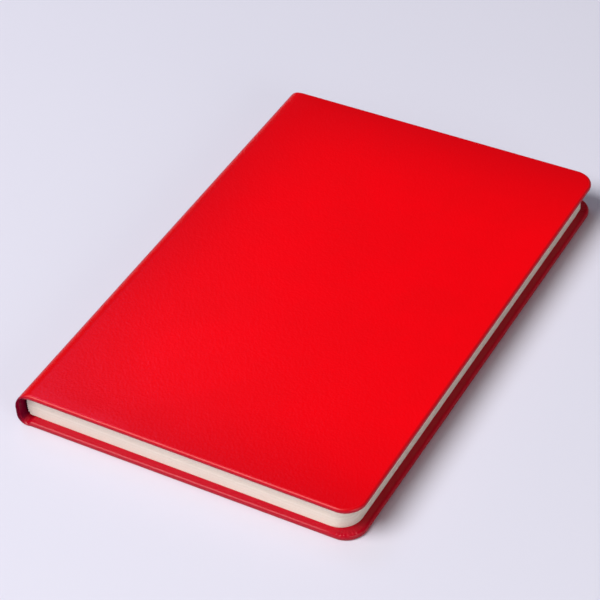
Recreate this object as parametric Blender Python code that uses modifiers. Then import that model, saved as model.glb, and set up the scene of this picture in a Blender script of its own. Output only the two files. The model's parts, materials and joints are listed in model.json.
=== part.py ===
# Red A5 hard-cover notebook: a leather case over card boards, endpapers and a block of sewn signatures.
# It lies closed on its rear cover: +X to the fore edge, +Y to the head, +Z up, origin under its middle.

import math

import bmesh
import bpy
from mathutils import Matrix, Vector

mm = 0.001

# Case
notebook_width = 145 * mm  # back of the spine to the fore edge
notebook_length = 210 * mm  # tail to head
leather_thickness = 0.45 * mm
board_thickness = 1.3 * mm
inlay_thickness = 0.3 * mm  # card strip that stiffens the spine
turn_in = 15 * mm  # leather folded over the boards onto their inner faces
corner_radius = 8.5 * mm  # fore corners of the covers, seen from above
edge_rounding = 0.9 * mm  # cover edges, seen from their ends
rear_joint_radius = 4.5 * mm  # leather bending from the rear cover up to the back
front_joint_radius = 7.5 * mm  # leather bending from the back over to the front cover
board_setback = 7.5 * mm  # back of the spine to the boards
inlay_setback = 0.6 * mm  # ends of the inlay to the lines where the leather bends
glue_line = 0.03 * mm
joint_gap = 0.1 * mm  # between the leather panels at the lines where they bend

# Text block
leaf_thickness = 0.105 * mm
leaves_per_signature = 10
signature_count = 10
endpaper_thickness = 0.12 * mm
sheet_gap = 0.02 * mm  # air between sheets
tail_margin = 3.0 * mm  # covers stand past the pages at head and tail
fore_margin = 3.3 * mm  # and at the fore edge
page_corner_radius = 8.5 * mm
fold_rounding = 0.45 * mm
spine_hollow = 1.3 * mm  # inside of the spine to the folds of the signatures
pastedown_setback = 1.0 * mm  # spine edge of a pastedown to the board's edge
pastedown_slope = 1.0 * mm  # run of the step where a pastedown dips between the turn-ins

# Sewing and lining of the block's back
thread_diameter = 0.3 * mm
thread_margin = 18 * mm  # ends of the sewing to the ends of the case
thread_clearance = 0.12 * mm  # thread to the folds, and to the gauze over it
mull_thickness = 0.2 * mm
mull_margin = 12 * mm  # ends of the gauze to the ends of the case

# Fineness of the rounded stretches
corner_steps = 8
joint_steps = 6
edge_steps = 3
fold_steps = 2

# Sizes that follow from those above
cover_thickness = 2 * leather_thickness + board_thickness + 2 * glue_line
spine_thickness = 2 * leather_thickness + inlay_thickness + 2 * glue_line
signature_thickness = leaves_per_signature * leaf_thickness
sheet_count = signature_count + 4
block_thickness = (signature_count * signature_thickness + 4 * endpaper_thickness
                   + (sheet_count + 1) * sheet_gap)
notebook_thickness = 2 * cover_thickness + block_thickness
x_back = -notebook_width / 2
x_fore = notebook_width / 2
x_board = x_back + board_setback
x_page = x_fore - fore_margin
y_end = notebook_length / 2
y_page = y_end - tail_margin
cut_over = 0.5 * mm  # cutters reach this far past what they cut
same_place = 0.001 * mm
fullest_rounding = 0.48  # share of a thickness that a rounded edge may take
sharp_angle = math.radians(30)  # edges that turn more than this are shaded sharp

rear_centre = (x_back + rear_joint_radius, rear_joint_radius)
front_centre = (x_back + front_joint_radius, notebook_thickness - front_joint_radius)
bend = 45  # the leather bends half way round each joint

leather_red = (0.80, 0.004, 0.012)
board_grey = (0.42, 0.37, 0.31)
page_ivory = (0.83, 0.76, 0.66)
endpaper_ivory = (0.80, 0.73, 0.63)
thread_white = (0.85, 0.83, 0.78)
gauze_white = (0.78, 0.76, 0.70)
leather_roughness = 0.45
paper_roughness = 0.85
fibre_roughness = 0.9

for old in list(bpy.data.objects):
    bpy.data.objects.remove(old)
notebook = bpy.data.collections.new("Leather notebook")
cutters = bpy.data.collections.new("Cutters")
for group in (notebook, cutters):
    bpy.context.scene.collection.children.link(group)


def finish(name, colour, roughness):
    material = bpy.data.materials.new(name)
    material.use_nodes = True
    shader = material.node_tree.nodes["Principled BSDF"]
    shader.inputs["Base Color"].default_value = (*colour, 1)
    shader.inputs["Roughness"].default_value = roughness
    shader.inputs["Metallic"].default_value = 0
    return material


def mesh_from(name, shape):
    mesh = bpy.data.meshes.new(name)
    shape.to_mesh(mesh)
    shape.free()
    return mesh


def add_piece(name, shape, material, axis=None):
    mesh = mesh_from(name, shape)
    mesh.shade_smooth()
    mesh.set_sharp_from_angle(angle=sharp_angle)
    mesh.materials.append(material)
    piece = bpy.data.objects.new(name, mesh)
    notebook.objects.link(piece)
    hang(piece, axis)
    return piece


def hang(piece, axis):
    # A piece that moves is carried by the empty on its joint's axis.
    if axis:
        bpy.context.view_layer.update()
        piece.parent = axis
        piece.matrix_parent_inverse = axis.matrix_world.inverted()


def add_axis(name, x, z, parent=None):
    axis = bpy.data.objects.new(name, None)
    axis.empty_display_size = 10 * mm
    axis.location = (x, 0, z)
    notebook.objects.link(axis)
    hang(axis, parent)
    bpy.context.view_layer.update()
    return axis


def combine(piece, name, shape, operation):
    tool = bpy.data.objects.new(name, mesh_from(name, shape))
    tool.display_type = "WIRE"
    tool.hide_render = True
    cutters.objects.link(tool)
    step = piece.modifiers.new(name, "BOOLEAN")
    step.operation = operation
    step.object = tool


def plate(x_near, x_far, half_length, z_low, z_high, corner):
    # A flat sheet whose two fore corners are rounded.
    size = Matrix.Diagonal((x_far - x_near, 2 * half_length, z_high - z_low, 1))
    middle = Matrix.Translation(((x_near + x_far) / 2, 0, (z_low + z_high) / 2))
    shape = bmesh.new()
    bmesh.ops.create_cube(shape, size=1, matrix=middle @ size)
    upright = [e for e in shape.edges
               if all(abs(v.co.x - x_far) < same_place for v in e.verts)
               and abs(e.verts[0].co.y - e.verts[1].co.y) < same_place]
    bmesh.ops.bevel(shape, geom=upright, offset=corner, segments=corner_steps, profile=0.5, affect="EDGES")
    return shape


def edges_at(shape, test):
    return [e for e in shape.edges if all(test(v.co) for v in e.verts)]


def arc(centre, radius, first, last):
    turns = [first + (last - first) * i / joint_steps for i in range(joint_steps + 1)]
    return [(centre[0] + radius * math.cos(math.radians(t)), centre[1] + radius * math.sin(math.radians(t)))
            for t in turns]


def extruded(outline, half_length):
    # An outline in the X-Z plane drawn out along Y, to both sides of the middle.
    curve = bpy.data.curves.new("outline", "CURVE")
    curve.dimensions = "2D"
    curve.fill_mode = "BOTH"
    curve.extrude = half_length
    spline = curve.splines.new("POLY")
    spline.points.add(len(outline) - 1)
    for point, (x, z) in zip(spline.points, outline):
        point.co = (x, z, 0, 1)
    spline.use_cyclic_u = True
    drawn = bpy.data.objects.new("outline", curve)
    bpy.context.scene.collection.objects.link(drawn)
    drawn.rotation_euler.x = math.radians(90)
    bpy.context.view_layer.update()
    mesh = bpy.data.meshes.new_from_object(drawn.evaluated_get(bpy.context.evaluated_depsgraph_get()))
    mesh.transform(drawn.matrix_world)
    bpy.data.objects.remove(drawn)
    solid = bmesh.new()
    solid.from_mesh(mesh)
    bpy.data.meshes.remove(mesh)
    bmesh.ops.remove_doubles(solid, verts=solid.verts, dist=same_place)
    bmesh.ops.recalc_face_normals(solid, faces=solid.faces)
    return solid


def turn_of(length, radius):
    return math.degrees(length / radius)


def spine_band(depth_out, depth_in, setback):
    # A layer of the spine between two depths below its outer surface, this far short of both bend lines.
    def side(depth, back):
        rear = arc(rear_centre, rear_joint_radius - depth,
                   180 + bend - turn_of(setback, rear_joint_radius), 180)
        front = arc(front_centre, front_joint_radius - depth,
                    180, 180 - bend + turn_of(setback, front_joint_radius))
        return (rear + front)[::back]
    return side(depth_out, 1) + side(depth_in, -1)


def inside_of_spine(z):
    rear_lift, front_lift = rear_centre[1] - z, z - front_centre[1]
    if front_lift > 0:
        return front_centre[0] - math.sqrt((front_joint_radius - spine_thickness) ** 2 - front_lift ** 2)
    if rear_lift > 0:
        return rear_centre[0] - math.sqrt((rear_joint_radius - spine_thickness) ** 2 - rear_lift ** 2)
    return x_back + spine_thickness


def fold_line(z_low, z_high):
    # The block's back is rounded: each fold keeps the same hollow to the inside of the spine.
    return max(inside_of_spine(z_low), inside_of_spine(z_high)) + spine_hollow


def make_case_side(side, radius, level, axis):
    # level turns a depth below the cover's outer face into a height.
    inner_face = level(cover_thickness)
    low, high = sorted((level(0), inner_face))
    x_wall = x_board - leather_thickness

    # Leather: a cover-sized envelope and the strip that bends towards the spine, less the board's
    # pocket and less the window between the turn-ins.
    envelope = plate(x_wall, x_fore, y_end, low, high, corner_radius)
    rounding = min(edge_rounding, fullest_rounding * cover_thickness)
    rims = edges_at(envelope, lambda p: abs(p.z - inner_face) < same_place)
    rims += [e for e in edges_at(envelope, lambda p: abs(p.z - level(0)) < same_place)
             if any(v.co.x > x_wall + same_place for v in e.verts)]
    bmesh.ops.bevel(envelope, geom=rims, offset=rounding, segments=edge_steps, profile=0.5, affect="EDGES")
    leather = add_piece(side + "_cover_leather", envelope, red_leather, axis)

    def strip(x_end, depth_out, depth_in, depth_end, setback):
        split = 180 + bend + turn_of(setback, radius)
        centre = (x_back + radius, radius)
        outline = ([(x_end, depth_out)] + arc(centre, radius - depth_out, 270, split)
                   + arc(centre, radius - depth_in, split, 270))
        if depth_end > depth_in:
            outline.append((centre[0], depth_end))
        outline.append((x_end, depth_end))
        return [(x, level(depth)) for x, depth in outline]

    lap = strip(x_board, 0, spine_thickness, spine_thickness, joint_gap / 2)
    combine(leather, side + "_joint_strip", extruded(lap, y_end), "UNION")
    depth = sorted((level(leather_thickness), level(leather_thickness + 2 * glue_line + board_thickness)))
    pocket = plate(x_board - glue_line, x_fore - leather_thickness, y_end - leather_thickness, *depth,
                   corner_radius - leather_thickness)
    combine(leather, side + "_board_pocket", pocket, "DIFFERENCE")
    window = strip(x_fore - turn_in, leather_thickness + glue_line, spine_thickness + cut_over,
                   cover_thickness + cut_over, -cut_over)
    combine(leather, side + "_window", extruded(window, y_end - turn_in), "DIFFERENCE")

    inset = leather_thickness + glue_line
    depth = sorted((level(inset), level(inset + board_thickness)))
    board = plate(x_board, x_fore - inset, y_end - inset, *depth, corner_radius - inset)
    add_piece(side + "_board", board, grey_board, axis)

    # Pastedown: a sheet that lies on the turn-ins and dips onto the board between them.
    x_first = x_board + pastedown_setback
    sheet = bmesh.new()
    bmesh.ops.create_grid(sheet, x_segments=1, y_segments=1, size=0.5, matrix=Matrix.Translation(
        ((x_first + x_page) / 2, 0, level(cover_thickness + sheet_gap + endpaper_thickness / 2)))
        @ Matrix.Diagonal((x_page - x_first, 2 * y_page, 1, 1)))
    corners = [v for v in sheet.verts if v.co.x > 0]
    bmesh.ops.bevel(sheet, geom=corners, offset=page_corner_radius, segments=corner_steps, profile=0.5,
                    affect="VERTICES")
    x_dip = x_fore - turn_in - pastedown_slope
    y_dip = y_end - turn_in - pastedown_slope
    half_slope = pastedown_slope / 2
    for along, reach in ((Vector((1, 0, 0)), x_dip), (Vector((0, 1, 0)), y_dip), (Vector((0, -1, 0)), y_dip)):
        for shift in (half_slope, -half_slope):
            bmesh.ops.bisect_plane(sheet, geom=sheet.verts[:] + sheet.edges[:] + sheet.faces[:],
                                   plane_co=along * (reach + shift), plane_no=along)
    bmesh.ops.triangulate(sheet, faces=sheet.faces)
    dip = level(leather_thickness + glue_line) - level(0)
    for v in sheet.verts:
        if v.co.x < x_dip and abs(v.co.y) < y_dip:
            v.co.z -= dip
    bmesh.ops.recalc_face_normals(sheet, faces=sheet.faces)
    pastedown = add_piece(side + "_pastedown", sheet, endpaper, axis)
    wall = pastedown.modifiers.new("paper", "SOLIDIFY")
    wall.thickness = endpaper_thickness
    wall.offset = 0


def make_spine(axis):
    band = spine_band(0, spine_thickness, joint_gap / 2)
    leather = add_piece("spine_leather", extruded(band, y_end), red_leather, axis)
    outer, inner = leather_thickness, leather_thickness + 2 * glue_line + inlay_thickness
    pocket = spine_band(outer, inner, inlay_setback - glue_line)
    combine(leather, "inlay_pocket", extruded(pocket, y_end - leather_thickness), "DIFFERENCE")
    window = spine_band(outer + glue_line, spine_thickness + cut_over, -cut_over)
    combine(leather, "spine_window", extruded(window, y_end - turn_in), "DIFFERENCE")
    card = spine_band(outer + glue_line, outer + glue_line + inlay_thickness, inlay_setback)
    add_piece("spine_inlay", extruded(card, y_end - leather_thickness - glue_line), grey_board, axis)


def make_leaf(name, z_low, thickness, material, axis=None):
    x_fold = fold_line(z_low, z_low + thickness)
    leaf = plate(x_fold, x_page, y_page, z_low, z_low + thickness, page_corner_radius)
    return add_piece(name, leaf, material, axis)


def make_signature(name, z_low, axis):
    z_high = z_low + signature_thickness
    x_fold = fold_line(z_low, z_high)
    signature = plate(x_fold, x_page, y_page, z_low, z_high, page_corner_radius)
    long_edges = [e for e in edges_at(signature, lambda p: abs(p.x - x_fold) < same_place)
                  if abs(e.verts[0].co.z - e.verts[1].co.z) < same_place]
    rounding = min(fold_rounding, fullest_rounding * signature_thickness)
    bmesh.ops.bevel(signature, geom=long_edges, offset=rounding, segments=fold_steps, profile=0.5,
                    affect="EDGES")
    return add_piece(name, signature, page_paper, axis)


def make_thread(folds):
    # One thread runs along each fold in turn and steps to the next signature at the ends.
    curve = bpy.data.curves.new("sewing_thread", "CURVE")
    curve.dimensions = "3D"
    curve.bevel_depth = thread_diameter / 2
    curve.bevel_resolution = 1
    curve.use_fill_caps = True
    y_turn = y_end - thread_margin
    route = []
    for row, (x, height) in enumerate(folds):
        first = y_turn if row % 2 else -y_turn
        lane = x - thread_clearance - thread_diameter / 2
        route += [(lane, first, height), (lane, -first, height)]
    spline = curve.splines.new("POLY")
    spline.points.add(len(route) - 1)
    for point, place in zip(spline.points, route):
        point.co = (*place, 1)
    curve.materials.append(sewing_thread)
    notebook.objects.link(bpy.data.objects.new("sewing_thread", curve))


def make_mull(folds):
    # Gauze glued over the sewn folds, with its ends on the first and the last signature.
    lining = thread_diameter + 2 * thread_clearance
    near = [(x - lining, z) for x, z in folds]
    far = [(x - lining - mull_thickness, z) for x, z in folds]
    add_piece("spine_mull", extruded(near + far[::-1], y_end - mull_margin), gauze)


red_leather = finish("Red leather", leather_red, leather_roughness)
grey_board = finish("Grey board", board_grey, fibre_roughness)
endpaper = finish("Endpaper", endpaper_ivory, paper_roughness)
page_paper = finish("Page paper", page_ivory, paper_roughness)
sewing_thread = finish("Sewing thread", thread_white, fibre_roughness)
gauze = finish("Gauze", gauze_white, fibre_roughness)

# Case: the spine bends up from the rear cover, and the front cover bends over from the spine.
half_turn = math.radians(bend)
rear_joint = add_axis("rear_joint", rear_centre[0] - rear_joint_radius * math.cos(half_turn),
                      rear_centre[1] - rear_joint_radius * math.sin(half_turn))
front_joint = add_axis("front_joint", front_centre[0] - front_joint_radius * math.cos(half_turn),
                       front_centre[1] + front_joint_radius * math.sin(half_turn), rear_joint)
make_case_side("rear", rear_joint_radius, lambda depth: depth, None)
make_spine(rear_joint)
make_case_side("front", front_joint_radius, lambda depth: notebook_thickness - depth, front_joint)

# Text block, from the rear cover up. Each signature turns on the gauze, at the line below its fold.
z = cover_thickness + endpaper_thickness + 2 * sheet_gap
make_leaf("rear_flyleaf", z, endpaper_thickness, endpaper)
z += endpaper_thickness + sheet_gap
gauze_line = thread_diameter + 2 * thread_clearance + mull_thickness / 2
sewn_folds = []
carrier = None
for number in range(signature_count, 0, -1):
    x_fold = fold_line(z, z + signature_thickness)
    axis = add_axis(f"fold_{number:02d}", x_fold - gauze_line, z - sheet_gap / 2, carrier)
    make_signature(f"signature_{number:02d}", z, axis)
    sewn_folds.append((x_fold, z + signature_thickness / 2))
    carrier = axis
    z += signature_thickness + sheet_gap
x_fold = fold_line(z, z + endpaper_thickness)
axis = add_axis("fold_front_flyleaf", x_fold - gauze_line, z - sheet_gap / 2, carrier)
make_leaf("front_flyleaf", z, endpaper_thickness, endpaper, axis)
make_thread(sewn_folds)
make_mull(sewn_folds)

for piece in (rear_joint, front_joint):
    print(piece.name, [round(value / mm, 3) for value in piece.matrix_world.translation])
print("thickness", round(notebook_thickness / mm, 3), "mm")
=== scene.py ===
import json
import math
import random

import bmesh
import bpy
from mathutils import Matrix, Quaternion, Vector


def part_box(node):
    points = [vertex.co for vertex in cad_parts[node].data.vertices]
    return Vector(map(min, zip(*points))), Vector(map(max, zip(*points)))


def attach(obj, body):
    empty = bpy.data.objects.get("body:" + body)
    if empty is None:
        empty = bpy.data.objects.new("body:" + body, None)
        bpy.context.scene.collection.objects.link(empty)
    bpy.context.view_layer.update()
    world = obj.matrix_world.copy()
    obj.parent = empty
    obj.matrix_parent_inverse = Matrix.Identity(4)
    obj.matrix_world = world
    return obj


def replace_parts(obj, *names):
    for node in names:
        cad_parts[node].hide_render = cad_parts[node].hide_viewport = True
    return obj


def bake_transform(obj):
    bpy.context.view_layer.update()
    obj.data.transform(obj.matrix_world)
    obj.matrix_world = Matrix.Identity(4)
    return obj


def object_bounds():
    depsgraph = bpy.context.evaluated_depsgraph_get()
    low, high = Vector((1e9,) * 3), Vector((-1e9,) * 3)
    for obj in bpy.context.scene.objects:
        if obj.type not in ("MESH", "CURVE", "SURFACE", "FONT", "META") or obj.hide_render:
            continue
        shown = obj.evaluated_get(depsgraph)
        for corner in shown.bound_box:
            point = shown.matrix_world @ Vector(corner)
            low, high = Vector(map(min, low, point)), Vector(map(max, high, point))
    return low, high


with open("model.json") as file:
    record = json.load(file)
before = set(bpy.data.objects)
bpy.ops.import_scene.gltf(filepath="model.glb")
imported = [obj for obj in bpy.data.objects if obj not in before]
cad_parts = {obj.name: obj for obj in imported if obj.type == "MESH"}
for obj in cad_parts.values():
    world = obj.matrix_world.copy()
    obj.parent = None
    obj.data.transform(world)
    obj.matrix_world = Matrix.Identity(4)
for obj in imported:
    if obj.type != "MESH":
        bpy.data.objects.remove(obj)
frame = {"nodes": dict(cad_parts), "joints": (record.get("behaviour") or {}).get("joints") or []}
cadLow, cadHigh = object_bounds()
mm = 0.001
touch = 0.01 * mm  # points closer than this share a place
merge = 0.001 * mm
joints = {joint["name"]: joint for joint in frame["joints"]}
signatures = [f"signature_{number:02d}" for number in range(10, 0, -1)]  # from the rear cover up
print("frame loaded,", len(frame["nodes"]), "nodes")


# Small helpers for working in edit mode

def editOnly(piece):
    if bpy.context.object and bpy.context.object.mode == "EDIT":
        bpy.ops.object.mode_set(mode="OBJECT")
    bpy.ops.object.select_all(action="DESELECT")
    bpy.context.view_layer.objects.active = piece
    piece.select_set(True)
    bpy.ops.object.mode_set(mode="EDIT")


def leaveEdit():
    bpy.ops.object.mode_set(mode="OBJECT")


def newPlane(name, low, high, z):
    # a flat sheet between two corners in X and Y
    bpy.ops.object.select_all(action="DESELECT")
    bpy.ops.mesh.primitive_plane_add(size=1, location=(0, 0, 0))
    piece = bpy.context.object
    piece.name = piece.data.name = name
    editOnly(piece)
    bpy.ops.mesh.select_all(action="SELECT")
    bpy.ops.transform.resize(value=(high[0] - low[0], high[1] - low[1], 1))
    bpy.ops.transform.translate(value=((low[0] + high[0]) / 2, (low[1] + high[1]) / 2, z))
    return piece


def pick(kind, test):
    # selects the vertices, edges or faces that pass the test
    bpy.ops.mesh.select_mode(type=kind)
    bpy.ops.mesh.select_all(action="DESELECT")
    cage = bmesh.from_edit_mesh(bpy.context.object.data)
    for part in {"VERT": cage.verts, "EDGE": cage.edges, "FACE": cage.faces}[kind]:
        part.select_set(bool(test(part)))
    cage.select_flush_mode()
    bmesh.update_edit_mesh(bpy.context.object.data)


def weld(piece):
    editOnly(piece)
    bpy.ops.mesh.select_all(action="SELECT")
    bpy.ops.mesh.remove_doubles(threshold=merge)
    leaveEdit()


def applyModifier(piece, kind, **settings):
    bpy.context.view_layer.objects.active = piece
    modifier = piece.modifiers.new(kind.title(), kind)
    for key, value in settings.items():
        setattr(modifier, key, value)
    bpy.ops.object.modifier_apply(modifier=modifier.name)


def ownCopy(first, name):
    piece = first.copy()
    piece.data = first.data.copy()
    piece.name = piece.data.name = name
    bpy.context.scene.collection.objects.link(piece)
    return piece


def extrudeTo(x, z, fromX, fromZ):
    bpy.ops.mesh.extrude_edges_move(TRANSFORM_OT_translate={"value": (x - fromX, 0, z - fromZ)})


def turnEdge(centreX, centreZ, degrees, steps):
    bpy.ops.mesh.spin(steps=steps, angle=math.radians(degrees), center=(centreX, 0, centreZ), axis=(0, -1, 0))


# Materials

def newMaterial(name, colour, roughness, specular):
    material = bpy.data.materials.new(name)
    material.use_nodes = True
    shader = material.node_tree.nodes["Principled BSDF"]
    shader.inputs["Base Color"].default_value = (*colour, 1)
    shader.inputs["Roughness"].default_value = roughness
    shader.inputs["Specular IOR Level"].default_value = specular
    return material, material.node_tree.nodes, material.node_tree.links, shader


def objectPlace(nodes):
    return nodes.new("ShaderNodeTexCoord").outputs["Object"]


def noise(nodes, links, vector, scale, detail, roughness=0.5):
    texture = nodes.new("ShaderNodeTexNoise")
    texture.inputs["Scale"].default_value = scale
    texture.inputs["Detail"].default_value = detail
    texture.inputs["Roughness"].default_value = roughness
    links.new(vector, texture.inputs["Vector"])
    return texture.outputs["Fac"]


def between(nodes, links, factor, low, high, fromLow=0.3, fromHigh=0.7):
    span = nodes.new("ShaderNodeMapRange")
    span.inputs["From Min"].default_value = fromLow
    span.inputs["From Max"].default_value = fromHigh
    span.inputs["To Min"].default_value = low
    span.inputs["To Max"].default_value = high
    links.new(factor, span.inputs["Value"])
    return span.outputs["Result"]


def mixColours(nodes, links, factor, first, second):
    mix = nodes.new("ShaderNodeMix")
    mix.data_type = "RGBA"
    mix.inputs["A"].default_value = (*first, 1)
    mix.inputs["B"].default_value = (*second, 1)
    links.new(factor, mix.inputs["Factor"])
    return mix.outputs["Result"]


def addBump(nodes, links, height, strength, distance, under=None):
    bump = nodes.new("ShaderNodeBump")
    bump.inputs["Strength"].default_value = strength
    bump.inputs["Distance"].default_value = distance
    links.new(height, bump.inputs["Height"])
    if under:
        links.new(under, bump.inputs["Normal"])
    return bump.outputs["Normal"]


leatherLook = {
    "red": (0.92, 0.0003, 0.0040),
    "deepRed": (0.86, 0.0002, 0.0028),
    "paintedFalloffRed": (0.67, 0.0003, 0.0035),  # painted shade, darker towards the spine, head and tail
    "edgeRed": (0.42, 0.0002, 0.0150),  # painted shade on the sides and turn-ins, where the leather is turned over an edge
    "hollowRed": (0.17, 0.0004, 0.0190),  # painted shade, darkest inside the spine
    "roughness": (0.29, 0.37),
    "edgeRoughness": 0.27,
    "specular": 0.06,
    "edgeSpecular": 0.23,  # the edges and the spine are burnished
    "edgeGrain": 0.5,
    "cloudScale": 45,  # unevenness of the dye, per metre
    "cloudDetail": 7,
    "cloudRoughness": 0.62,
    "grainScale": 1150,
    "grainSmoothness": 0.6,
    "poreScale": 4200,
    "poreDetail": 2,
    "grainStrength": 0.75,
    "poreStrength": 0.3,
    "grainDepth": 0.06 * mm,
}


def makeLeather(name, specular, grainStrength):
    look = leatherLook
    material, nodes, links, shader = newMaterial(name, look["red"], look["edgeRoughness"], specular)
    plain = objectPlace(nodes)
    clouds = noise(nodes, links, plain, look["cloudScale"], look["cloudDetail"], look["cloudRoughness"])
    colour = mixColours(nodes, links, between(nodes, links, clouds, 0, 1), look["red"], look["deepRed"])
    # three painted shades: towards the spine, head and tail, on the sides and turn-ins, and inside the spine
    for tone in ("paintedFalloff", "edge", "hollow"):
        where = nodes.new("ShaderNodeAttribute")
        where.attribute_name = tone
        toned = nodes.new("ShaderNodeMix")
        toned.data_type = "RGBA"
        toned.inputs["B"].default_value = (*look[tone + "Red"], 1)
        links.new(colour, toned.inputs["A"])
        links.new(where.outputs["Fac"], toned.inputs["Factor"])
        colour = toned.outputs["Result"]
        if tone == "edge":
            polished = nodes.new("ShaderNodeMix")
            polished.inputs["B"].default_value = look["edgeRoughness"]
            links.new(between(nodes, links, clouds, *look["roughness"]), polished.inputs["A"])
            links.new(where.outputs["Fac"], polished.inputs["Factor"])
            links.new(polished.outputs["Result"], shader.inputs["Roughness"])
    links.new(colour, shader.inputs["Base Color"])
    cells = nodes.new("ShaderNodeTexVoronoi")
    cells.feature = "SMOOTH_F1"
    cells.inputs["Scale"].default_value = look["grainScale"]
    cells.inputs["Smoothness"].default_value = look["grainSmoothness"]
    links.new(plain, cells.inputs["Vector"])
    grain = addBump(nodes, links, cells.outputs["Distance"], grainStrength, look["grainDepth"])
    pores = noise(nodes, links, plain, look["poreScale"], look["poreDetail"])
    links.new(addBump(nodes, links, pores, look["poreStrength"], look["grainDepth"], grain),
              shader.inputs["Normal"])
    return material


paperLook = {
    "pale": (0.95, 0.87, 0.79),
    "warm": (0.90, 0.81, 0.72),
    "dim": (0.74, 0.64, 0.54),
    "roughness": 0.82,
    "specular": 0.2,
    "endShade": 0.98,  # the end papers against the pages
    "fibreScale": 1500,
    "fibreDetail": 4,
    "fibreRoughness": 0.6,
    "fibreStrength": 0.12,
    "fibreDepth": 0.03 * mm,
}


def makePaper(name, shade):
    look = paperLook
    pale, warm = ([value * shade for value in look[key]] for key in ("pale", "warm"))
    material, nodes, links, shader = newMaterial(name, pale, look["roughness"], look["specular"])
    plain = objectPlace(nodes)
    fibres = noise(nodes, links, plain, look["fibreScale"], look["fibreDetail"], look["fibreRoughness"])
    tone = nodes.new("ShaderNodeAttribute")
    tone.attribute_name = "tone"
    toned = nodes.new("ShaderNodeMix")
    toned.data_type = "RGBA"
    toned.inputs["B"].default_value = (*look["dim"], 1)
    links.new(mixColours(nodes, links, between(nodes, links, fibres, 0, 1), pale, warm), toned.inputs["A"])
    links.new(tone.outputs["Fac"], toned.inputs["Factor"])
    links.new(toned.outputs["Result"], shader.inputs["Base Color"])
    links.new(addBump(nodes, links, fibres, look["fibreStrength"], look["fibreDepth"]),
              shader.inputs["Normal"])
    return material


boardLook = {
    "grey": (0.36, 0.32, 0.27),
    "fleck": (0.24, 0.21, 0.18),
    "roughness": 0.9,
    "specular": 0.2,
    "fleckScale": 900,
    "fleckDetail": 5,
    "fleckRoughness": 0.7,
    "strength": 0.3,
    "depth": 0.08 * mm,
}


def makeBoard():
    look = boardLook
    material, nodes, links, shader = newMaterial("grey board", look["grey"], look["roughness"],
                                                 look["specular"])
    plain = objectPlace(nodes)
    flecks = noise(nodes, links, plain, look["fleckScale"], look["fleckDetail"], look["fleckRoughness"])
    links.new(mixColours(nodes, links, between(nodes, links, flecks, 0, 1), look["grey"], look["fleck"]),
              shader.inputs["Base Color"])
    links.new(addBump(nodes, links, flecks, look["strength"], look["depth"]), shader.inputs["Normal"])
    return material


clothLook = {
    "white": (0.80, 0.78, 0.72),
    "hollow": (0.52, 0.49, 0.43),
    "roughness": 0.9,
    "specular": 0.15,
    "weave": 1500,
    "distortion": 0.4,
    "strength": 0.5,
    "depth": 0.1 * mm,
}


def makeCloth(name):
    # warp and weft as two crossed waves, with painted shade in the hollows between the threads
    look = clothLook
    material, nodes, links, shader = newMaterial(name, look["white"], look["roughness"], look["specular"])
    plain = objectPlace(nodes)
    waves = []
    for direction in ("Y", "Z"):
        wave = nodes.new("ShaderNodeTexWave")
        wave.bands_direction = direction
        wave.inputs["Scale"].default_value = look["weave"]
        wave.inputs["Distortion"].default_value = look["distortion"]
        links.new(plain, wave.inputs["Vector"])
        waves.append(wave.outputs["Fac"])
    highest = nodes.new("ShaderNodeMath")
    highest.operation = "MAXIMUM"
    links.new(waves[0], highest.inputs[0])
    links.new(waves[1], highest.inputs[1])
    links.new(mixColours(nodes, links, highest.outputs["Value"], look["hollow"], look["white"]),
              shader.inputs["Base Color"])
    links.new(addBump(nodes, links, highest.outputs["Value"], look["strength"], look["depth"]),
              shader.inputs["Normal"])
    return material


redLeather = makeLeather("red leather", leatherLook["specular"], leatherLook["grainStrength"])
burnishedLeather = makeLeather("burnished leather", leatherLook["edgeSpecular"], leatherLook["edgeGrain"])
pagePaper = makePaper("page paper", 1)
endPaper = makePaper("end paper", paperLook["endShade"])
greyBoard = makeBoard()
gauze = makeCloth("gauze")
linen = makeCloth("linen thread")
print("materials made")


# Case leather: one sheet round the covers and the spine, rounded over their edges and turned in

case = {
    "jointSteps": 14,
    "cornerRadius": 8.5 * mm,
    "cornerSteps": 40,
    "rimRounding": 1.1 * mm,
    "rimSteps": 5,
    "pressedPower": 5,  # higher is squarer
    "sharpAngle": 60,
    "smoothAngle": 40,
    "normalWeight": 60,
    "slopeRun": 1.3 * mm,  # the boards' spine edges, softened under the leather
    "spineThickness": 1.26 * mm,
    "skin": 0.3 * mm,
    "turnIn": 15 * mm,
    "pleats": 8,
    "pleatHeights": (0.5 * mm, 0.2 * mm),  # rear and front
    "pleatReach": 2.9 * mm,
    "pleatSpread": (0.55, 1),
    "pleatFade": 0.5,
    "rings": 4,  # round the turn-ins, for the pleats
    "ringStep": 0.7 * mm,
    "spineLean": 1.5 * mm,  # the turn-in slants into the hollow at the ends of the spine
    "leanFrom": 0.6,
    "leanReach": 6 * mm,
    "spineBulge": 1.4 * mm,  # the doubled leather stands out at the ends of the spine
    "bendReach": 2.2 * mm,
    # painted shade on the sides of the covers and on their turn-ins
    "sideTone": 1.0,
    "turnInTone": 0.8,
    "sidePower": 3,
    "hollowEnd": 0.7,  # painted shade on the rim at the ends of the spine
    "hollowFrontFade": (0.65, 0.9),  # where that painted shade fades out towards the covers, as the slope there
    "hollowRearFade": 0.4,
    "dullFrom": 0.5,  # where the painted shade inside the spine is deep, the leather isn't burnished
    # painted shade, darker towards the spine, head and tail, over this reach
    "paintedFalloffReach": 52 * mm,
    "paintedFalloffSteps": 7,
    # at the fore edge, the head, and the tail near the spine and near the fore edge, as the covers are cut
    "frontOverhang": (0.7 * mm, 0.5 * mm, 0.2 * mm, -0.15 * mm),
    "rearOverhang": (0.2 * mm, 0, 0.7 * mm, 0.1 * mm),
    "seed": 4,
}
quarter = 1 - math.cos(math.radians(45))
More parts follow.
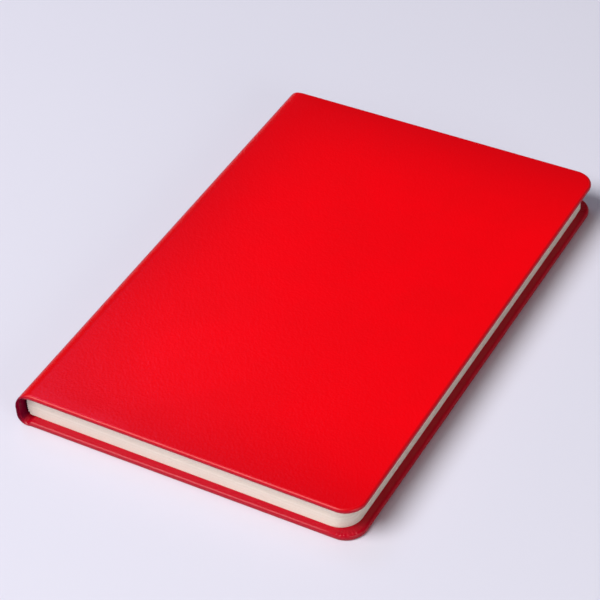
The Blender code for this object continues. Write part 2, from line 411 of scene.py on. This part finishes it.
xBack, xFore, yEnd = cadLow.x, cadHigh.x, cadHigh.y
zLow, zHigh = cadLow.z, cadHigh.z
rearAxis, frontAxis = (Vector(joints[name]["pos_m"]) for name in ("rear_joint", "front_joint"))
rearRadius = (rearAxis.x - xBack) / quarter
frontRadius = (frontAxis.x - xBack) / quarter
rearCentre = Vector((xBack + rearRadius, 0, zLow + rearRadius))
frontCentre = Vector((xBack + frontRadius, 0, zHigh - frontRadius))
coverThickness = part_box("rear_cover_leather")[1].z - zLow
slopeStart = rearCentre.x
slopeEnd = slopeStart + case["slopeRun"]
spineMiddle = (rearCentre.z + frontCentre.z) / 2


def depthAndNormal(point):
    # how far a point lies under the outside of the case, and which way is out
    if point.x < rearCentre.x and point.z < rearCentre.z:
        out = Vector((point.x - rearCentre.x, 0, point.z - rearCentre.z))
        return rearRadius - out.length, out.normalized()
    if point.x < frontCentre.x and point.z > frontCentre.z:
        out = Vector((point.x - frontCentre.x, 0, point.z - frontCentre.z))
        return frontRadius - out.length, out.normalized()
    if point.x < frontCentre.x and rearCentre.z <= point.z <= frontCentre.z:
        return point.x - xBack, Vector((-1, 0, 0))
    if point.z < spineMiddle:
        return point.z - zLow, Vector((0, 0, -1))
    return zHigh - point.z, Vector((0, 0, 1))


def insetAndSide(point):
    # how far a point lies in from the edges of a cover, and which way the nearest edge is
    corner = case["cornerRadius"]
    x, y = point.x - (xFore - corner), abs(point.y) - (yEnd - corner)
    aside = Vector((max(0, x), max(0, y), 0)) if min(x, y) > 0 else Vector((x > y, x <= y, 0))
    inset = corner - (aside.length if min(x, y) > 0 else max(x, y))
    aside.y = math.copysign(aside.y, point.y)
    return inset, aside.normalized()


def facesIn(face):
    middle = face.calc_center_median()
    inward = Vector((slopeEnd - middle.x if middle.x < slopeStart else 0, 0, spineMiddle - middle.z))
    return face.normal.dot(inward) > 0.5 * inward.length


def onCover(face):
    # the flat outer faces of the two covers
    middle = face.calc_center_median()
    return abs(face.normal.z) > 0.999 and min(middle.z - zLow, zHigh - middle.z) < touch


def onOutside(face):
    # the covers and the back of the spine, up to their rims
    depth, out = depthAndNormal(face.center)
    return depth < 3 * touch and face.normal.dot(out) > 0.99


def squareRim(vert):
    # the rear cover has been pressed flatter on the table than the rest of the rim
    rim, power = case["rimRounding"], case["pressedPower"]
    inset, aside = insetAndSide(vert.co)
    depth, out = depthAndNormal(vert.co)
    across, down = 1 - inset / rim, 1 - depth / rim
    if across > 0 and down > 0 and out.z < 0:
        grow = ((across ** power + down ** power) ** (-1 / power) - 1) * rim * out.z ** 2
        vert.co += (aside * across + out * down) * grow


def makeCase():
    size = case
    piece = newPlane("case_leather", (slopeEnd, -yEnd), (xFore, yEnd), zLow)
    pick("EDGE", lambda edge: all(v.co.x < slopeEnd + touch for v in edge.verts))
    extrudeTo(slopeStart, zLow, slopeEnd, zLow)
    turnEdge(rearCentre.x, rearCentre.z, 90, size["jointSteps"])
    extrudeTo(xBack, spineMiddle, xBack, rearCentre.z)
    extrudeTo(xBack, frontCentre.z, xBack, spineMiddle)
    turnEdge(frontCentre.x, frontCentre.z, 90, size["jointSteps"])
    extrudeTo(xFore, zHigh, frontCentre.x, zHigh)
    pick("VERT", lambda v: v.co.x > xFore - touch)
    bpy.ops.mesh.bevel(offset=size["cornerRadius"], segments=size["cornerSteps"], affect="VERTICES")
    bpy.ops.mesh.select_all(action="SELECT")
    bpy.ops.mesh.normals_make_consistent(inside=False)
    cage = bmesh.from_edit_mesh(piece.data)
    lowest = min(cage.faces, key=lambda face: face.calc_center_median().z)
    if lowest.normal.z > 0:
        bpy.ops.mesh.flip_normals()
    leaveEdit()

    # the leather stands round a board, so the sheet first gets the thickness of a cover
    applyModifier(piece, "SOLIDIFY", thickness=coverThickness, offset=-1, use_even_offset=True)
    editOnly(piece)
    bpy.ops.mesh.select_all(action="DESELECT")
    bpy.ops.mesh.select_mode(type="EDGE")
    bpy.ops.mesh.edges_select_sharp(sharpness=math.radians(size["sharpAngle"]))
    bpy.ops.mesh.bevel(offset=size["rimRounding"], segments=size["rimSteps"], affect="EDGES")
    largest = xFore * yEnd  # the linings of the covers are larger than this, and nothing else is
    pick("FACE", lambda face: facesIn(face) and face.calc_area() > largest)
    for ring in range(size["rings"]):
        bpy.ops.mesh.inset(thickness=size["ringStep"], use_even_offset=True)
    bpy.ops.mesh.select_all(action="SELECT")
    bpy.ops.mesh.remove_doubles(threshold=merge)

    # between the boards there is only the leather and its lining card
    cage = bmesh.from_edit_mesh(piece.data)
    thin = size["spineThickness"] / coverThickness
    for vert in cage.verts:
        squareRim(vert)
        depth, out = depthAndNormal(vert.co)
        share = min(1, max(0, (vert.co.x - slopeStart) / (slopeEnd - slopeStart)))
        fromEnd = max(0, 1 - (yEnd - abs(vert.co.y)) / size["leanReach"])
        inward = max(0, depth / coverThickness - size["leanFrom"]) / (1 - size["leanFrom"])
        bulge = size["spineBulge"] * min(1, max(0, (slopeEnd - vert.co.x) / (slopeEnd - xBack)))
        lean = size["spineLean"] * inward * (1 - share)
        vert.co.y += math.copysign((bulge - lean) * fromEnd, vert.co.y)
        vert.co += out * depth * (1 - thin) * (1 - share)
    bmesh.update_edit_mesh(piece.data)
    makePleats(piece)

    # the lining of the case is open between the turn-ins
    inside = Vector((xFore - size["turnIn"], yEnd - size["turnIn"]))
    for spot, normal in (((inside.x, 0, 0), (1, 0, 0)), ((0, inside.y, 0), (0, 1, 0)),
                         ((0, -inside.y, 0), (0, 1, 0))):
        pick("FACE", facesIn)
        bpy.ops.mesh.bisect(plane_co=spot, plane_no=normal)
    pick("FACE", lambda face: facesIn(face) and face.calc_center_median().x < inside.x
         and abs(face.calc_center_median().y) < inside.y)
    bpy.ops.mesh.delete(type="FACE")

    # cuts across the outer faces, which carry the painted shade towards the spine, head and tail
    for step in range(1, size["paintedFalloffSteps"] + 1):
        away = size["paintedFalloffReach"] * step / size["paintedFalloffSteps"]
        for spot, normal in (((xBack + away, 0, 0), (1, 0, 0)), ((0, yEnd - away, 0), (0, 1, 0)),
                             ((0, away - yEnd, 0), (0, 1, 0))):
            pick("FACE", onCover)
            bpy.ops.mesh.bisect(plane_co=spot, plane_no=normal)
    leaveEdit()
    applyModifier(piece, "SOLIDIFY", thickness=size["skin"], offset=-1, use_even_offset=False)
    return piece


def makePleats(piece):
    # leather gathered round the fore corners of the boards
    size = case
    draw = random.Random(size["seed"])
    cage = bmesh.from_edit_mesh(piece.data)
    heights = [draw.uniform(*size["pleatSpread"]) for pleat in range(4 * size["pleats"])]
    centreX, centreY = xFore - size["cornerRadius"], yEnd - size["cornerRadius"]
    for vert in cage.verts:
        depth, out = depthAndNormal(vert.co)
        if vert.co.x < centreX or abs(vert.co.y) < centreY or depth < coverThickness / 2:
            continue
        reach = math.hypot(vert.co.x - centreX, abs(vert.co.y) - centreY)
        edge = min(1, max(0, 1 - (size["cornerRadius"] - reach) / size["pleatReach"]))
        turn = math.degrees(math.atan2(abs(vert.co.y) - centreY, vert.co.x - centreX)) / 90 * size["pleats"]
        number = min(size["pleats"] - 1, int(turn))
        corner = (vert.co.y > 0) + 2 * (vert.co.z > spineMiddle)
        fold = (turn - number) * heights[corner * size["pleats"] + number]
        lift = min(1, (depth - coverThickness / 2) / (coverThickness / 2))
        height = size["pleatHeights"][vert.co.z > spineMiddle]
        vert.co -= out * height * fold * lift * edge ** size["pleatFade"]
    bmesh.update_edit_mesh(piece.data)


def markTones(piece):
    # painted shade at each point: how far it falls off towards the spine, head and tail, how far the point
    # lies round the edge of a cover, and how deep in the spine
    size = case
    tones = ("paintedFalloff", "edge", "hollow")
    paintedFalloff, edge, hollow = (piece.data.attributes.new(name, "FLOAT", "POINT") for name in tones)
    rim = size["rimRounding"]
    fadeFrom, fadeTo = size["hollowFrontFade"]
    for vert in piece.data.vertices:
        inset, aside = insetAndSide(vert.co)
        depth, out = depthAndNormal(vert.co)
        # painted shade on the sides of the covers and on their turn-ins
        side, turnIn = (min(1, max(0, share)) for share in ((rim - inset) / rim, depth / rim))
        side **= size["sidePower"]
        edge.data[vert.index].value = max(size["sideTone"] * side, size["turnInTone"] * turnIn)

        # painted shade, darker towards the spine, head and tail
        unshaded = 1
        for away in (vert.co.x - xBack, yEnd - abs(vert.co.y)):
            share = min(1, max(0, away / size["paintedFalloffReach"]))
            unshaded *= share * (2 - share)
        paintedFalloff.data[vert.index].value = 1 - unshaded

        # painted shade inside the spine and on the rim at its ends
        if vert.co.x < slopeStart:
            inside = 2 * depth / size["spineThickness"] - 1
            fromFront = min(1, max(0, (fadeTo - out.z) / (fadeTo - fadeFrom)))
            fromRear = min(1, (1 + out.z) / size["hollowRearFade"])
            end = size["hollowEnd"] * (1 - (yEnd - abs(vert.co.y)) / rim) * fromFront
            hollow.data[vert.index].value = min(1, max(0, inside, end)) * fromRear


def halfOfCase(whole, name, keepLow):
    half = ownCopy(whole, name)
    editOnly(half)
    bpy.ops.mesh.select_all(action="SELECT")
    bpy.ops.mesh.bisect(plane_co=(0, 0, spineMiddle), plane_no=(0, 0, 1), use_fill=True,
                        clear_outer=keepLow, clear_inner=not keepLow)
    bpy.ops.mesh.select_all(action="SELECT")
    bpy.ops.mesh.delete_loose()
    leaveEdit()
    fore, head, nearTail, farTail = case["rearOverhang" if keepLow else "frontOverhang"]
    for vert in half.data.vertices:
        share = max(0, vert.co.x - slopeEnd) / (xFore - slopeEnd)
        along = vert.co.y / yEnd * min(1, (vert.co.x - xBack) / (slopeEnd - xBack))
        tail = nearTail + (farTail - nearTail) * share ** 2
        vert.co += Vector((fore * share, along * (head if along > 0 else tail), 0))
    half.data.materials.append(redLeather)
    half.data.materials.append(burnishedLeather)
    hollow = half.data.attributes["hollow"].data
    for face in half.data.polygons:
        dull = onOutside(face) or min(hollow[vert].value for vert in face.vertices) > case["dullFrom"]
        face.material_index = 0 if dull else 1
    bpy.ops.object.shade_smooth_by_angle(angle=math.radians(case["smoothAngle"]))
    applyModifier(half, "WEIGHTED_NORMAL", keep_sharp=True, weight=case["normalWeight"])
    return half


wholeCase = makeCase()
markTones(wholeCase)
rearLeather = halfOfCase(wholeCase, "rear_case_leather", True)
frontLeather = halfOfCase(wholeCase, "front_case_leather", False)
bpy.data.objects.remove(wholeCase)
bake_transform(rearLeather)
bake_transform(frontLeather)
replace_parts(rearLeather, "rear_cover_leather", "spine_leather")
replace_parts(frontLeather, "front_cover_leather")
print("case leather made,", len(rearLeather.data.polygons) + len(frontLeather.data.polygons), "faces")


# Pages: nested folded sheets, one object for each sewn signature

pages = {
    "leaves": 10,
    "paper": 0.088 * mm,
    "headRadius": 5.5 * mm,  # the corners are cut rounder at the tail
    "tailRadius": 8.2 * mm,
    "cornerSteps": 20,
    "foldSteps": 8,
    "smoothAngle": 30,
    "opensFrom": 30,  # a fold that turns further than this is where the notebook opens
    "uneven": 0.05 * mm,
    "toneSpread": 0.45,  # leaf to leaf, as seen along the cut edges
    "seed": 11,
}
firstLow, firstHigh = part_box(signatures[0])
leafPitch = (firstHigh.z - firstLow.z) / pages["leaves"]
foldTurn = firstLow.x + pages["leaves"] * leafPitch / 2  # where the flat leaves begin


def foldedSheet(layer):
    # a lower leaf, its fold and the upper leaf over it
    radius = (pages["leaves"] / 2 - 0.5 - layer) * leafPitch
    middle = (firstLow.z + firstHigh.z) / 2
    piece = newPlane("sheet", (foldTurn, firstLow.y), (firstHigh.x, firstHigh.y), middle - radius)
    pick("EDGE", lambda edge: all(v.co.x < foldTurn + touch for v in edge.verts))
    turnEdge(foldTurn, middle, 180, pages["foldSteps"])
    extrudeTo(firstHigh.x, 0, foldTurn, 0)
    for end, corner in ((1, pages["headRadius"]), (-1, pages["tailRadius"])):
        pick("VERT", lambda v: v.co.x > firstHigh.x - touch and v.co.y * end > firstHigh.y - touch)
        bpy.ops.mesh.bevel(offset=corner, segments=pages["cornerSteps"], affect="VERTICES")
    leaveEdit()
    applyModifier(piece, "SOLIDIFY", thickness=pages["paper"], offset=0)
    return piece


def makeSignature():
    sheets = [foldedSheet(layer) for layer in range(pages["leaves"] // 2)]
    bpy.ops.object.select_all(action="DESELECT")
    for sheet in sheets:
        sheet.select_set(True)
    bpy.context.view_layer.objects.active = sheets[0]
    bpy.ops.object.join()
    sheets[0].data.materials.append(pagePaper)
    bpy.ops.object.shade_smooth_by_angle(angle=math.radians(pages["smoothAngle"]))
    return sheets[0]


def copySignature(first, node, draw):
    # each copy reaches back to its own place on the rounded spine, with its leaves a little uneven
    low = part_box(node)[0]
    section = ownCopy(first, node + "_leaves")
    leaves, uneven = pages["leaves"], pages["uneven"]
    shifts = [[draw.uniform(-uneven, uneven) for axis in "xy"] for leaf in range(leaves)]
    tones = [draw.uniform(0, pages["toneSpread"]) for leaf in range(leaves)]
    tone = section.data.attributes.new("tone", "FLOAT", "POINT")
    for vert in section.data.vertices:
        leaf = min(leaves - 1, max(0, int((vert.co.z - firstLow.z) / leafPitch)))
        tone.data[vert.index].value = tones[leaf]
        if vert.co.x > foldTurn + touch:
            vert.co += Vector((*shifts[leaf], low.z - firstLow.z))
        else:
            vert.co += Vector((low.x - firstLow.x, 0, low.z - firstLow.z))
    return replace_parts(section, node)


firstSignature = makeSignature()
drawPages = random.Random(pages["seed"])
for node in signatures:
    section = copySignature(firstSignature, node, drawPages)
    fold = next(joint for joint in frame["joints"] if joint["child"] == node)
    if fold["range_deg"][1] > pages["opensFrom"]:
        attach(section, node)
    else:
        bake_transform(section)
bpy.data.objects.remove(firstSignature)
print("pages made,", len(signatures), "signatures")


# Sewing and lining along the back of the pages

backing = {
    "threadRadius": 0.15 * mm,
    "threadGap": 0.12 * mm,
    "threadSides": 2,
    "gauze": 0.14 * mm,
    "gauzeSteps": 12,
    "stitchSteps": 9,
}


def foldSpots():
    return [(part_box(node)[0].x, (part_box(node)[0].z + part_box(node)[1].z) / 2) for node in signatures]


def makeGauze():
    # strips from the middle of one fold to the middle of the next
    low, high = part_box("spine_mull")
    spots = foldSpots()
    near = 2 * (backing["threadRadius"] + backing["threadGap"])
    far = near + backing["gauze"]
    rise = spots[1][1] - spots[0][1]
    first = newPlane("gauze_strip", (-far, low.y), (-near, high.y), 0)
    bpy.ops.mesh.select_all(action="SELECT")
    for step in range(backing["gauzeSteps"]):
        up = {"value": (0, 0, rise / backing["gauzeSteps"])}
        bpy.ops.mesh.extrude_region_move(TRANSFORM_OT_translate=up)
    bpy.ops.mesh.select_all(action="SELECT")
    bpy.ops.mesh.normals_make_consistent(inside=False)
    leaveEdit()
    first.data.materials.append(gauze)
    for row, (lower, upper) in enumerate(zip(signatures, signatures[1:])):
        (x0, z0), (x1, z1) = spots[row:row + 2]
        strip = ownCopy(first, f"gauze_strip_{row + 1:02d}")
        for vert in strip.data.vertices:
            share = vert.co.z / rise
            vert.co = (x0 + (x1 - x0) * share + vert.co.x, vert.co.y, z0 + (z1 - z0) * share)
        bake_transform(strip)
        if row == 0:
            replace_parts(strip, "spine_mull")
    bpy.data.objects.remove(first)


def threadAlong(name, route):
    curve = bpy.data.curves.new(name, "CURVE")
    curve.dimensions = "3D"
    curve.bevel_depth = backing["threadRadius"]
    curve.bevel_resolution = backing["threadSides"]
    curve.use_fill_caps = True
    line = curve.splines.new("POLY")
    line.points.add(len(route) - 1)
    for point, spot in zip(line.points, route):
        point.co = (*spot, 1)
    thread = bpy.data.objects.new(name, curve)
    bpy.context.scene.collection.objects.link(thread)
    bpy.ops.object.select_all(action="DESELECT")
    bpy.context.view_layer.objects.active = thread
    thread.select_set(True)
    bpy.ops.object.convert(target="MESH")
    thread = bpy.context.object
    weld(thread)
    thread.data.materials.append(linen)
    return thread


def makeThread():
    # a run along each fold, and at its end a link up to the next one
    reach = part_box("sewing_thread")[1].y - backing["threadRadius"]
    spots = [(x - backing["threadGap"] - backing["threadRadius"], z) for x, z in foldSpots()]
    rise = spots[1][1] - spots[0][1]
    steps = backing["stitchSteps"]
    firstRun = threadAlong("thread_run", [(0, -reach, 0), (0, reach, 0)])
    firstLink = threadAlong("thread_link", [(0, 0, rise * step / steps) for step in range(steps + 1)])
    for row, node in enumerate(signatures):
        x, z = spots[row]
        run = ownCopy(firstRun, f"thread_run_{row + 1:02d}")
        for vert in run.data.vertices:
            vert.co += Vector((x, 0, z))
        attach(run, node)
        if row == 0:
            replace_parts(run, "sewing_thread")
        if row + 1 == len(signatures):
            break
        x1, z1 = spots[row + 1]
        link = ownCopy(firstLink, f"thread_link_{row + 1:02d}")
        for vert in link.data.vertices:
            vert.co += Vector((x + (x1 - x) * vert.co.z / rise, -reach if row % 2 else reach, z))
        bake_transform(link)
    bpy.data.objects.remove(firstRun)
    bpy.data.objects.remove(firstLink)


makeGauze()
makeThread()
print("gauze and thread made")


# Carried-over solids: boards, lining card and end papers

for node, material in {"front_board": greyBoard, "rear_board": greyBoard, "spine_inlay": greyBoard,
                       "front_pastedown": endPaper, "rear_pastedown": endPaper,
                       "front_flyleaf": endPaper, "rear_flyleaf": endPaper}.items():
    frame["nodes"][node].data.materials.clear()
    frame["nodes"][node].data.materials.append(material)
print("boards and end papers finished")


# Table, light and camera

studio = {
    "tableColour": (0.752, 0.731, 0.822),
    "tableRoughness": (0.55, 0.65),
    "tableSpecular": 0.25,
    "tableClouds": 9,
    "tableSize": 6,
    "tableDrop": 0.02 * mm,
    "worldColour": (0.95, 0.96, 1.0),
    "worldStrength": 0.10,
    "lamps": {  # place, size, power and colour, and whether it also lights what isn't glossy
        "key": ((-0.95, -1.25, 2.08), 1.75, 76, (1, 1, 1)),
        "fill": ((1.55, -0.80, 0.48), 1.0, 8.5, (1, 1, 1)),
        "window": ((-1.23, 0.71, 1.69), 1.0, 4, (0.60, 0.72, 1)),
        "sheen": ((-1.23, 0.88, 1.60), 0.35, 7, (0.50, 0.38, 1), False),
    },
}


def makeTable():
    half = studio["tableSize"] / 2
    table = newPlane("table", (-half, -half), (half, half), zLow - studio["tableDrop"])
    leaveEdit()
    smooth, rough = studio["tableRoughness"]
    material, nodes, links, shader = newMaterial("white table", studio["tableColour"], rough,
                                                 studio["tableSpecular"])
    clouds = noise(nodes, links, objectPlace(nodes), studio["tableClouds"], 2)
    links.new(between(nodes, links, clouds, smooth, rough), shader.inputs["Roughness"])
    table.data.materials.append(material)


def makeLamp(name, place, size, power, colour, lightsAll=True):
    lamp = bpy.data.lights.new(name, "AREA")
    lamp.shape = "DISK"
    lamp.size = size
    lamp.energy = power
    lamp.color = colour
    holder = bpy.data.objects.new(name, lamp)
    holder.location = place
    holder.rotation_euler = (-Vector(place)).to_track_quat("-Z", "Y").to_euler()
    holder.visible_diffuse = lightsAll
    bpy.context.scene.collection.objects.link(holder)


view = {
    "place": (341.3 * mm, -556.1 * mm, 582.9 * mm),
    "along": (-0.39897, 0.63372, -0.66274),
    "roll": -4.53,
    "lens": 132.2,
    "sensor": 36,
    "clipStart": 10 * mm,
}


def makeCamera():
    camera = bpy.data.cameras.new("camera")
    camera.lens = view["lens"]
    camera.sensor_width = view["sensor"]
    camera.clip_start = view["clipStart"]
    holder = bpy.data.objects.new("camera", camera)
    holder.location = view["place"]
    holder.rotation_mode = "QUATERNION"
    aimed = Vector(view["along"]).to_track_quat("-Z", "Y")
    holder.rotation_quaternion = aimed @ Quaternion((0, 0, 1), math.radians(view["roll"]))
    bpy.context.scene.collection.objects.link(holder)
    bpy.context.scene.camera = holder


makeTable()
for name, settings in studio["lamps"].items():
    makeLamp(name, *settings)
world = bpy.data.worlds.new("studio")
world.use_nodes = True
world.node_tree.nodes["Background"].inputs["Color"].default_value = (*studio["worldColour"], 1)
world.node_tree.nodes["Background"].inputs["Strength"].default_value = studio["worldStrength"]
bpy.context.scene.world = world
bpy.context.scene.view_settings.view_transform = "Standard"
makeCamera()
print("table, light and camera ready")
